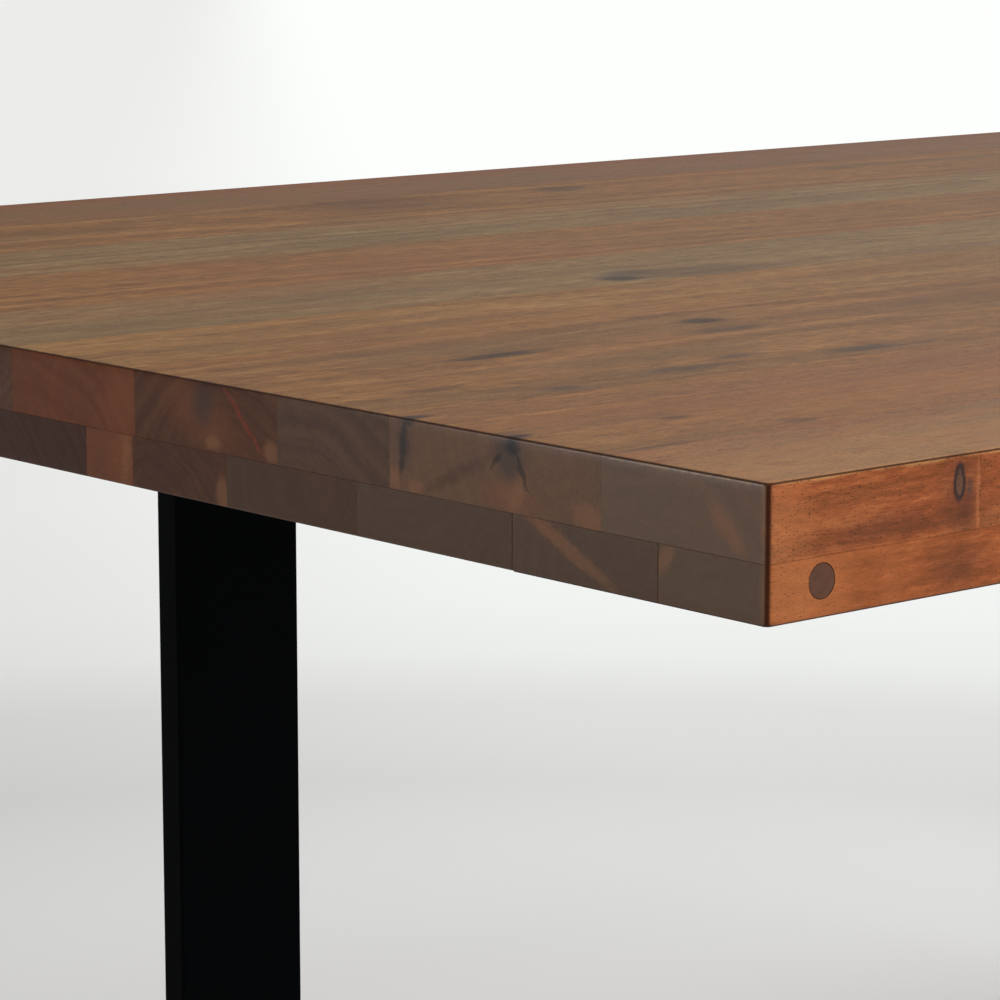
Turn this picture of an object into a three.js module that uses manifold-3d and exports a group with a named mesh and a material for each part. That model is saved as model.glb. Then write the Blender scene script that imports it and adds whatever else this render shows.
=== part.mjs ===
// Butcher block table: a slab of glued staves in two layers on two welded rectangular-tube frames.
// Millimetres, +Z up. The origin is on the floor, under the middle of the top. +X runs along the
// grain and the length, so the left end is at -X; the front long side is at -Y.
import * as THREE from "three";
import { mergeVertices } from "three/addons/utils/BufferGeometryUtils.js";
import Module from "manifold-3d";

const wasm = await Module();
wasm.setup();

// ---- Overall sizes ----
const TABLE_LENGTH = 2032;
const TABLE_WIDTH = 1016;
const TABLE_HEIGHT = 762;

// ---- Top ----
const UPPER_LAYER = 28.6; // thickness of each layer of staves
const LOWER_LAYER = 22.2;
const EDGE_ROUND = 2; // eased top and bottom edges
const CORNER_ROUND = 3; // upright corners
const GLUE_LINE = 0.3; // between two staves, and between the layers
// Stave widths from the front long side to the back. They are scaled together to fill the width.
const UPPER_STAVES = [85, 121, 71, 98, 92, 104, 118, 96, 126, 105];
const LOWER_STAVES = [55, 79, 92, 85, 66, 34, 88, 112, 97, 124, 79, 105];
// Rows made of two staves end to end: row number, and distance of the joint from the left end.
const UPPER_END_JOINTS = new Map([[1, 108], [3, 1290], [6, 1420], [9, 1160]]);
const LOWER_END_JOINTS = new Map([[1, 1210]]);

// ---- Dowels that pin the outer staves of the lower layer, seen as discs in the long sides ----
const DOWEL_DIAMETER = 12.7;
const DOWEL_LENGTH = 110;
const DOWEL_FROM_END = 26.7; // from the end of the top to the dowel's axis
const DOWEL_RISE = 2.3; // the axis lies this far above the middle of the lower layer
const DOWEL_CLEARANCE = 0.3; // on the radius, filled by glue

// ---- Steel frames ----
const TUBE_WIDTH = 90; // along the table's length
const TUBE_THICKNESS = 20;
const TUBE_WALL = 2;
const TUBE_ROUND = 2; // outer round of the tube's long edges
const END_OVERHANG = 380; // from the end of the top to the outer face of a frame
const SIDE_OVERHANG = 120; // from the long side of the top to the outer face of a leg
const CONTACT_GAP = 0.3; // between pieces that bear on each other

// ---- Bolts and threaded inserts that hold a frame to the top ----
const BOLT_DIAMETER = 7.8;
const BOLT_HEAD_DIAMETER = 13;
const BOLT_HEAD_HEIGHT = 4.5;
const BOLT_FLANGE_HEIGHT = 1.5;
const BOLT_FLANGE_BEARING = 4; // how far the flange reaches past the edge of the hole
const BOLT_ENGAGEMENT = 13; // how far the bolt reaches into its insert
const SOCKET_ACROSS_FLATS = 5;
const SOCKET_DEPTH = 3;
const BOLT_FROM_SIDE = 108; // from the outer face of a leg to the outer bolts' axes
const BOLT_HOLE_CLEARANCE = 0.6; // on the radius
const SLOT_TRAVEL = 6; // the outer holes are slots, so that the wood can move
const INSERT_WALL = 1.8;
const INSERT_LENGTH = 15;
const THREAD_CLEARANCE = 0.3; // between a plain shank and the bore that stands for its thread

// ---- Levelling glides ----
const GLIDE_PAD_DIAMETER = 38;
const GLIDE_PAD_HEIGHT = 6;
const GLIDE_COLLAR_DIAMETER = 20;
const GLIDE_COLLAR_HEIGHT = 3;
const GLIDE_STUD_DIAMETER = 7.8;
const GLIDE_STUD_LENGTH = 17; // above the collar
const GLIDE_FROM_SIDE = 60; // from the outer face of a leg to the glide's axis
const GLIDE_HOLE_CLEARANCE = 1.1; // on the radius
const NUT_WALL = 2.3; // from the nut's bore to its flats
const NUT_HEIGHT = 6.5;

const ROUND_SIDES = 32; // facets of a visible round
const SMALL_SIDES = 24; // facets of a hidden round
const PAST = 5; // how far a cutting tool runs past the face it cuts

// ---- What follows from them ----
const TOP_THICKNESS = UPPER_LAYER + LOWER_LAYER;
const UNDERSIDE_Z = TABLE_HEIGHT - TOP_THICKNESS;
const FRAME_BOTTOM_Z = GLIDE_PAD_HEIGHT + GLIDE_COLLAR_HEIGHT + CONTACT_GAP;
const FRAME_HEIGHT = UNDERSIDE_Z - CONTACT_GAP - FRAME_BOTTOM_Z;
const FRAME_WIDTH = TABLE_WIDTH - 2 * SIDE_OVERHANG;
const FRAME_CENTRE_X = TABLE_LENGTH / 2 - END_OVERHANG - TUBE_WIDTH / 2;
const GLIDE_Y = FRAME_WIDTH / 2 - GLIDE_FROM_SIDE;
const BOLT_Y = FRAME_WIDTH / 2 - BOLT_FROM_SIDE;
const BOLT_YS = [-BOLT_Y, 0, BOLT_Y];
const BOLT_HOLE = BOLT_DIAMETER + 2 * BOLT_HOLE_CLEARANCE;
const INSERT_BORE = BOLT_DIAMETER + 2 * THREAD_CLEARANCE;
const INSERT_DIAMETER = INSERT_BORE + 2 * INSERT_WALL;
const NUT_BORE = GLIDE_STUD_DIAMETER + 2 * THREAD_CLEARANCE;
const DOWEL_Z = LOWER_LAYER / 2 + DOWEL_RISE; // above the underside of the top

const endGrainWood = new THREE.MeshStandardMaterial({ color: 0x7a4a2c, roughness: 0.5, metalness: 0 });
const upperWood = new THREE.MeshStandardMaterial({ color: 0x8a5c3e, roughness: 0.45, metalness: 0 });
const lowerWood = new THREE.MeshStandardMaterial({ color: 0x84502f, roughness: 0.5, metalness: 0 });
const blackSteel = new THREE.MeshStandardMaterial({ color: 0x0b0c0e, roughness: 0.55, metalness: 0.3 });
const zincSteel = new THREE.MeshStandardMaterial({ color: 0xa8a9a6, roughness: 0.35, metalness: 1 });
const nylon = new THREE.MeshStandardMaterial({ color: 0x161616, roughness: 0.6, metalness: 0 });

// ---- Solids ----

// A closed three.js geometry as a manifold-3d solid.
function solidOf(geometry) {
  const bare = geometry.index ? geometry.toNonIndexed() : geometry.clone();
  bare.deleteAttribute("normal");
  bare.deleteAttribute("uv");
  const merged = mergeVertices(bare, 1e-4);
  const index = merged.index.array;
  const kept = [];
  for (let i = 0; i < index.length; i += 3) {
    const [a, b, c] = [index[i], index[i + 1], index[i + 2]];
    if (a !== b && b !== c && c !== a) kept.push(a, b, c);
  }
  return new wasm.Manifold(
    new wasm.Mesh({
      numProp: 3,
      vertProperties: merged.attributes.position.array,
      triVerts: new Uint32Array(kept),
    }),
  );
}

// A manifold-3d solid as a named mesh. Its geometry is centred, and its position is in the mesh.
function meshOf(solid, name, material) {
  const data = solid.getMesh();
  const geometry = new THREE.BufferGeometry();
  geometry.setAttribute("position", new THREE.BufferAttribute(new Float32Array(data.vertProperties), 3));
  geometry.setIndex(new THREE.BufferAttribute(new Uint32Array(data.triVerts), 1));
  geometry.computeBoundingBox();
  const centre = geometry.boundingBox.getCenter(new THREE.Vector3());
  geometry.translate(-centre.x, -centre.y, -centre.z);
  geometry.computeVertexNormals();
  const mesh = new THREE.Mesh(geometry, material);
  mesh.name = name;
  mesh.position.copy(centre);
  return mesh;
}

// A box between two corners.
function box(low, high) {
  const size = high.map((h, i) => h - low[i]);
  const geometry = new THREE.BoxGeometry(...size);
  return solidOf(geometry.translate(...low.map((l, i) => l + size[i] / 2)));
}

// A cylinder from one height to another along Z, at x, y.
function cylinder(diameter, x, y, fromZ, toZ, sides) {
  const geometry = new THREE.CylinderGeometry(diameter / 2, diameter / 2, toZ - fromZ, sides);
  return solidOf(geometry.rotateX(Math.PI / 2).translate(x, y, (fromZ + toZ) / 2));
}

// A turned piece: its profile is [radius, height] pairs, from the bottom of the axis to its top.
function turned(profile, sides) {
  const points = profile.map(([radius, height]) => new THREE.Vector2(radius, height));
  return solidOf(new THREE.LatheGeometry(points, sides).rotateX(Math.PI / 2));
}

// A rectangle about the origin with rounded corners, as a shape.
function roundedRectangle(width, height, radius) {
  const [x, y] = [width / 2 - radius, height / 2 - radius];
  const outline = new THREE.Shape();
  outline.absarc(x, y, radius, 0, Math.PI / 2);
  outline.absarc(-x, y, radius, Math.PI / 2, Math.PI);
  outline.absarc(-x, -y, radius, Math.PI, 1.5 * Math.PI);
  outline.absarc(x, -y, radius, 1.5 * Math.PI, 2 * Math.PI);
  return outline;
}

// A hole or slot for a bolt, upright through heights fromZ to toZ, with its length along Y.
function slot(width, length, y, fromZ, toZ) {
  const reach = (length - width) / 2;
  const outline = new THREE.Shape();
  outline.absarc(0, reach, width / 2, 0, Math.PI);
  outline.absarc(0, -reach, width / 2, Math.PI, 2 * Math.PI);
  const geometry = new THREE.ExtrudeGeometry(outline, {
    depth: toZ - fromZ,
    bevelEnabled: false,
    curveSegments: SMALL_SIDES / 2,
  });
  return solidOf(geometry.translate(0, y, fromZ));
}

// An upright prism with a regular outline of six sides, measured across its flats.
function hexagon(acrossFlats, height) {
  return new THREE.CylinderGeometry(acrossFlats / Math.sqrt(3), acrossFlats / Math.sqrt(3), height, 6)
    .rotateX(Math.PI / 2);
}

// ---- Top: two layers of staves, cut from one eased slab ----

// The whole slab with its edges eased, its underside at z = 0.
function slab() {
  const outline = roundedRectangle(TABLE_LENGTH, TABLE_WIDTH, CORNER_ROUND);
  const geometry = new THREE.ExtrudeGeometry(outline, {
    depth: TOP_THICKNESS - 2 * EDGE_ROUND,
    bevelThickness: EDGE_ROUND,
    bevelSize: EDGE_ROUND,
    bevelOffset: -EDGE_ROUND,
    bevelSegments: 3,
    curveSegments: 4,
  });
  return solidOf(geometry.translate(0, 0, EDGE_ROUND));
}

// Every dowel: its end x and which long side it is in.
function dowelPlaces() {
  const x = TABLE_LENGTH / 2 - DOWEL_FROM_END;
  return [
    { name: "left_front_dowel", x: -x, side: -1 },
    { name: "right_front_dowel", x, side: -1 },
    { name: "left_back_dowel", x: -x, side: 1 },
    { name: "right_back_dowel", x, side: 1 },
  ];
}

// A dowel, or the bore for it when it is given a clearance and runs past the face.
function dowelSolid({ x, side }, clearance, past) {
  const radius = DOWEL_DIAMETER / 2 + clearance;
  const length = DOWEL_LENGTH + clearance + past;
  const middle = side * (TABLE_WIDTH / 2 - DOWEL_LENGTH - clearance + length / 2);
  const geometry = new THREE.CylinderGeometry(radius, radius, length, ROUND_SIDES);
  return solidOf(geometry.translate(x, middle, DOWEL_Z));
}

// All that is bored out of the lower layer: dowel bores, and blind holes for the threaded inserts.
function boredAway() {
  const bores = dowelPlaces().map((place) => dowelSolid(place, DOWEL_CLEARANCE, PAST));
  for (const x of [-FRAME_CENTRE_X, FRAME_CENTRE_X]) {
    for (const y of BOLT_YS) {
      const diameter = INSERT_DIAMETER + 2 * CONTACT_GAP;
      bores.push(cylinder(diameter, x, y, -PAST, INSERT_LENGTH + 2 * CONTACT_GAP, SMALL_SIDES));
    }
  }
  return bores.reduce((all, bore) => all.add(bore));
}

// One layer: a row for each stave width, and two staves end to end where a row has a joint.
function layer(name, widths, endJoints, fromZ, toZ, blank, material) {
  const fill = TABLE_WIDTH / widths.reduce((sum, width) => sum + width, 0);
  const half = GLUE_LINE / 2;
  const end = TABLE_LENGTH / 2 + PAST;
  const meshes = [];
  let from = -TABLE_WIDTH / 2;
  widths.forEach((width, i) => {
    const to = from + width * fill;
    const front = i === 0 ? from - PAST : from + half;
    const back = i === widths.length - 1 ? to + PAST : to - half;
    const stave = (label, fromX, toX) => {
      const solid = blank.intersect(box([fromX, front, fromZ], [toX, back, toZ]));
      meshes.push(meshOf(solid, `${name}_stave_${String(i + 1).padStart(2, "0")}${label}`, material));
    };
    if (endJoints.has(i + 1)) {
      const joint = endJoints.get(i + 1) - TABLE_LENGTH / 2;
      stave("_left", -end, joint - half);
      stave("_right", joint + half, end);
    } else {
      stave("", -end, end);
    }
    from = to;
  });
  return meshes;
}

function top() {
  const group = new THREE.Group();
  const seam = LOWER_LAYER;
  const blank = slab();
  const bored = blank.subtract(boredAway());
  group.add(...layer("upper", UPPER_STAVES, UPPER_END_JOINTS,
    seam + GLUE_LINE / 2, TOP_THICKNESS + PAST, blank, upperWood));
  group.add(...layer("lower", LOWER_STAVES, LOWER_END_JOINTS,
    -PAST, seam - GLUE_LINE / 2, bored, lowerWood));
  for (const place of dowelPlaces()) {
    group.add(meshOf(dowelSolid(place, 0, 0), place.name, endGrainWood));
  }
  group.position.z = UNDERSIDE_Z;
  return group;
}

// ---- Frames: four mitred tubes welded into a rectangle that stands across the table ----

// A rectangle about the origin, as a shape or as the path of a hole.
function rectangle(outline, width, height) {
  const [x, y] = [width / 2, height / 2];
  return outline.moveTo(-x, -y).lineTo(x, -y).lineTo(x, y).lineTo(-x, y).lineTo(-x, -y);
}

// A rectangular ring in the plane across the table, extruded along X and centred on it.
function ring(width, height, thickness, depth, round) {
  const outline = rectangle(new THREE.Shape(), width, height);
  outline.holes.push(rectangle(new THREE.Path(), width - 2 * thickness, height - 2 * thickness));
  const geometry = new THREE.ExtrudeGeometry(outline, {
    depth: depth - 2 * round,
    bevelEnabled: round > 0,
    bevelThickness: round,
    bevelSize: round,
    bevelOffset: -round,
    bevelSegments: 3,
  });
  geometry.translate(0, 0, round - depth / 2);
  return solidOf(geometry.applyMatrix4(ACROSS));
}

// Turns a shape drawn in X and Y to stand in Y and Z, with its depth along X.
const ACROSS = new THREE.Matrix4().makeBasis(
  new THREE.Vector3(0, 1, 0),
  new THREE.Vector3(0, 0, 1),
  new THREE.Vector3(1, 0, 0),
);

// The part of the ring that one tube takes, mitred at both ends. Turn 0 is the rail at the top,
// and each further turn is a quarter turn anticlockwise.
function mitreBlock(turn) {
  const upright = turn % 2 === 1;
  const along = (upright ? FRAME_HEIGHT : FRAME_WIDTH) / 2;
  const out = (upright ? FRAME_WIDTH : FRAME_HEIGHT) / 2;
  const gap = CONTACT_GAP / Math.SQRT2;
  const inner = TUBE_THICKNESS + PAST;
  const outline = new THREE.Shape([
    new THREE.Vector2(-along - PAST + gap, out + PAST),
    new THREE.Vector2(-along + inner + gap, out - inner),
    new THREE.Vector2(along - inner - gap, out - inner),
    new THREE.Vector2(along + PAST - gap, out + PAST),
  ]);
  const depth = TUBE_WIDTH + 2 * PAST;
  const geometry = new THREE.ExtrudeGeometry(outline, { depth, bevelEnabled: false });
  geometry.translate(0, 0, -depth / 2).rotateZ((turn * Math.PI) / 2);
  return solidOf(geometry.applyMatrix4(ACROSS));
}

// The four tubes of a frame, about the frame's own middle.
function tubes(side) {
  const walls = 2 * TUBE_WALL;
  const outside = ring(FRAME_WIDTH, FRAME_HEIGHT, TUBE_THICKNESS, TUBE_WIDTH, TUBE_ROUND);
  const cavity = ring(FRAME_WIDTH - walls, FRAME_HEIGHT - walls, TUBE_THICKNESS - walls,
    TUBE_WIDTH - walls, 0);
  const shell = outside.subtract(cavity);
  const head = FRAME_HEIGHT / 2;
  const boltHoles = BOLT_YS.map((y) => {
    const length = y === 0 ? BOLT_HOLE : BOLT_HOLE + SLOT_TRAVEL;
    return slot(BOLT_HOLE, length, y, head - TUBE_THICKNESS - PAST, head + PAST);
  });
  const glideHoles = [-GLIDE_Y, GLIDE_Y].map((y) =>
    cylinder(GLIDE_STUD_DIAMETER + 2 * GLIDE_HOLE_CLEARANCE, 0, y,
      -head - PAST, -head + TUBE_WALL + PAST, SMALL_SIDES));
  const cut = [...boltHoles, ...glideHoles].reduce((all, hole) => all.add(hole));
  const drilled = shell.subtract(cut);
  return ["top_rail", "front_leg", "foot_rail", "back_leg"].map((name, turn) =>
    meshOf(drilled.intersect(mitreBlock(turn)), `${side}_${name}`, blackSteel));
}

// ---- Fasteners ----

// A flanged socket screw: z = 0 is the face that bears on the tube, and its head is below that.
function bolt(name) {
  const shank = BOLT_DIAMETER / 2;
  const flange = BOLT_HOLE / 2 + BOLT_FLANGE_BEARING;
  const chamfer = 1;
  const length = CONTACT_GAP + TUBE_THICKNESS + CONTACT_GAP + CONTACT_GAP + BOLT_ENGAGEMENT;
  const bottom = -BOLT_FLANGE_HEIGHT - BOLT_HEAD_HEIGHT;
  const body = turned([
    [0, bottom],
    [BOLT_HEAD_DIAMETER / 2 - chamfer / 2, bottom],
    [BOLT_HEAD_DIAMETER / 2, bottom + chamfer / 2],
    [BOLT_HEAD_DIAMETER / 2, -BOLT_FLANGE_HEIGHT],
    [flange, -BOLT_FLANGE_HEIGHT],
    [flange, 0],
    [shank, 0],
    [shank, length - chamfer],
    [shank - chamfer, length],
    [0, length],
  ], SMALL_SIDES);
  const socket = hexagon(SOCKET_ACROSS_FLATS, 2 * SOCKET_DEPTH).translate(0, 0, bottom);
  return meshOf(body.subtract(solidOf(socket)), name, zincSteel);
}

// A threaded insert in the underside of the top: z = 0 is its open end.
function insert(name) {
  const body = cylinder(INSERT_DIAMETER, 0, 0, 0, INSERT_LENGTH, SMALL_SIDES);
  const bore = cylinder(INSERT_BORE, 0, 0, -PAST, INSERT_LENGTH + PAST, SMALL_SIDES);
  return meshOf(body.subtract(bore), name, zincSteel);
}

// The nut inside the foot rail that a levelling glide screws into: z = 0 is its lower face.
function glideNut(name) {
  const body = solidOf(hexagon(NUT_BORE + 2 * NUT_WALL, NUT_HEIGHT).translate(0, 0, NUT_HEIGHT / 2));
  const bore = cylinder(NUT_BORE, 0, 0, -PAST, NUT_HEIGHT + PAST, SMALL_SIDES);
  return meshOf(body.subtract(bore), name, zincSteel);
}

// A levelling glide: pad, collar and stud in one piece, standing on z = 0.
function glide(name) {
  const pad = GLIDE_PAD_DIAMETER / 2;
  const chamfer = 1;
  const shoulder = GLIDE_PAD_HEIGHT + GLIDE_COLLAR_HEIGHT;
  const tip = shoulder + GLIDE_STUD_LENGTH;
  const body = turned([
    [0, 0],
    [pad - chamfer, 0],
    [pad, chamfer],
    [pad, GLIDE_PAD_HEIGHT - 2 * chamfer],
    [pad - 2 * chamfer, GLIDE_PAD_HEIGHT],
    [GLIDE_COLLAR_DIAMETER / 2, GLIDE_PAD_HEIGHT],
    [GLIDE_COLLAR_DIAMETER / 2, shoulder],
    [GLIDE_STUD_DIAMETER / 2, shoulder],
    [GLIDE_STUD_DIAMETER / 2, tip - chamfer],
    [GLIDE_STUD_DIAMETER / 2 - chamfer, tip],
    [0, tip],
  ], ROUND_SIDES);
  return meshOf(body, name, nylon);
}

// Moves a mesh on from where its own builder put it.
function placed(mesh, x, y, z) {
  mesh.position.add(new THREE.Vector3(x, y, z));
  return mesh;
}

// ---- A frame with everything that goes with it ----

function frame(side, x) {
  const group = new THREE.Group();
  const welded = new THREE.Group();
  welded.add(...tubes(side));
  welded.position.z = FRAME_BOTTOM_Z + FRAME_HEIGHT / 2;
  group.add(welded);

  const railUnderside = FRAME_BOTTOM_Z + FRAME_HEIGHT - TUBE_THICKNESS;
  ["front", "middle", "back"].forEach((where, i) => {
    const y = BOLT_YS[i];
    group.add(placed(bolt(`${side}_${where}_bolt`), 0, y, railUnderside - CONTACT_GAP));
    group.add(placed(insert(`${side}_${where}_insert`), 0, y, UNDERSIDE_Z + CONTACT_GAP));
  });
  [["front", -GLIDE_Y], ["back", GLIDE_Y]].forEach(([where, y]) => {
    const nutZ = FRAME_BOTTOM_Z + TUBE_WALL + CONTACT_GAP;
    group.add(placed(glideNut(`${side}_${where}_glide_nut`), 0, y, nutZ));
    group.add(placed(glide(`${side}_${where}_glide`), 0, y, 0));
  });
  group.position.x = x;
  return group;
}

const table = new THREE.Group();
table.add(top(), frame("left", -FRAME_CENTRE_X), frame("right", FRAME_CENTRE_X));

export default table;
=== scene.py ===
"""Looks for a butcher block table: a slab of stained acacia staves on two black steel frames.

Everything is in metres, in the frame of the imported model: the floor is at z = 0, +X runs along
the grain, the left end is at -X and the front long side at -Y. Sizes in millimetres go through mm().
"""

from __future__ import annotations

import logging
import math
from collections.abc import Callable, Iterable, Iterator, Sequence
from contextlib import contextmanager
from dataclasses import dataclass
from enum import Enum
from typing import Any

import bmesh
import bpy
from mathutils import Matrix, Vector

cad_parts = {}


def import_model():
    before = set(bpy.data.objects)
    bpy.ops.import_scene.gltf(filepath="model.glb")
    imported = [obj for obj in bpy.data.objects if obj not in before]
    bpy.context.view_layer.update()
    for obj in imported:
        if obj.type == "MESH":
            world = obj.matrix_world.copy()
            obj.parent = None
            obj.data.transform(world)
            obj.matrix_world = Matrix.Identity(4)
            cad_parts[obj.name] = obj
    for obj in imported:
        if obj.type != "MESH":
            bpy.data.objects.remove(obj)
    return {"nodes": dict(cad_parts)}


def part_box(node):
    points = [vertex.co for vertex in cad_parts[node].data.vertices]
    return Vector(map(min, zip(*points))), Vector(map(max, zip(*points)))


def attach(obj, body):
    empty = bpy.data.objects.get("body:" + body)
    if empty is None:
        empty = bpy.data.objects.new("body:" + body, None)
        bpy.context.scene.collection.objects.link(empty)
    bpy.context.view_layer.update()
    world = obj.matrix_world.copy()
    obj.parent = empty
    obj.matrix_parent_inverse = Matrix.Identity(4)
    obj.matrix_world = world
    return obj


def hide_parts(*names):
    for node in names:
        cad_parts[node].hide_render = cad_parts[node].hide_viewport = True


Edge = bmesh.types.BMEdge
Material = bpy.types.Material
Socket = bpy.types.NodeSocket
Tree = bpy.types.NodeTree
Colour = tuple[float, float, float, float]
Triple = tuple[float, float, float]

LOG = logging.getLogger("butcher_block_table")
TABLE_BODY = "table"
X, Y, Z = 0, 1, 2
SAME_PLACE = 1e-6  # metres: two points that are nearer than this are at one place
MERGED = 1e-7  # metres: two corners that are nearer than this become one


def mm(value: float) -> float:
    """Returns a length in millimetres as metres."""
    return value / 1000


def extent(names: Iterable[str]) -> tuple[Vector, Vector]:
    """Finds the box round several CAD nodes.

    Args:
        names: The nodes' names.

    Returns:
        The box's lowest and highest corners.
    """
    boxes = [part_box(name) for name in names]
    low = Vector(min(box[0][axis] for box in boxes) for axis in (X, Y, Z))
    high = Vector(max(box[1][axis] for box in boxes) for axis in (X, Y, Z))
    return low, high


def runs_along(edge: Edge, axis: int) -> bool:
    """Returns whether an edge runs along an axis."""
    return abs((edge.verts[0].co - edge.verts[1].co).normalized()[axis]) > 0.9


def lies_at(edge: Edge, height: float) -> bool:
    """Returns whether an edge lies level at a height."""
    return all(abs(vert.co.z - height) < SAME_PLACE for vert in edge.verts)


def colour(code: str) -> Colour:
    """Turns an sRGB hex colour into the linear RGBA that a shader takes.

    Args:
        code: Six hex digits.

    Returns:
        Red, green, blue and an alpha of 1.
    """
    levels = [int(code[i : i + 2], 16) / 255 for i in (0, 2, 4)]
    linear = [v / 12.92 if v <= 0.04045 else ((v + 0.055) / 1.055) ** 2.4 for v in levels]
    return (linear[0], linear[1], linear[2], 1.0)


def new_material(name: str) -> tuple[Material, Tree]:
    """Makes a material.

    Args:
        name: Its name.

    Returns:
        The material, and its node tree with nothing in it.
    """
    material = bpy.data.materials.new(name)
    material.use_nodes = True
    material.node_tree.nodes.clear()
    return material, material.node_tree


def add_node(
    tree: Tree,
    kind: str,
    inputs: dict[str | int, Any] | None = None,
    stops: Sequence[tuple[float, Colour]] = (),
    **settings: Any,
) -> bpy.types.Node:
    """Adds a shader node, sets it and links it.

    Args:
        tree: The node tree that it goes into.
        kind: Its type, without the ShaderNode that each begins with.
        inputs: What goes into each socket: another node's socket is linked, a value is set.
        stops: The place and colour of each stop of a colour ramp, from the lowest up.
        **settings: The node's own properties.

    Returns:
        The new node.
    """
    node = tree.nodes.new("ShaderNode" + kind)
    for name, value in settings.items():
        setattr(node, name, value)
    for name, value in (inputs or {}).items():
        socket = node.inputs[name]
        if isinstance(value, Socket):
            tree.links.new(value, socket)
        else:
            socket.default_value = value
    if stops:
        ramp = node.color_ramp.elements
        ramp[0].position, ramp[0].color = stops[0]
        ramp[1].position, ramp[1].color = stops[-1]
        for position, shade in stops[1:-1]:
            ramp.new(position).color = shade
    return node


# ---- The bench: meshes shaped by hand ----


def clear_bench() -> None:
    """Deselects every object, so that an operator acts only on what is selected next."""
    if bpy.context.object and bpy.context.object.mode != "OBJECT":
        bpy.ops.object.mode_set(mode="OBJECT")
    bpy.ops.object.select_all(action="DESELECT")


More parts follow.
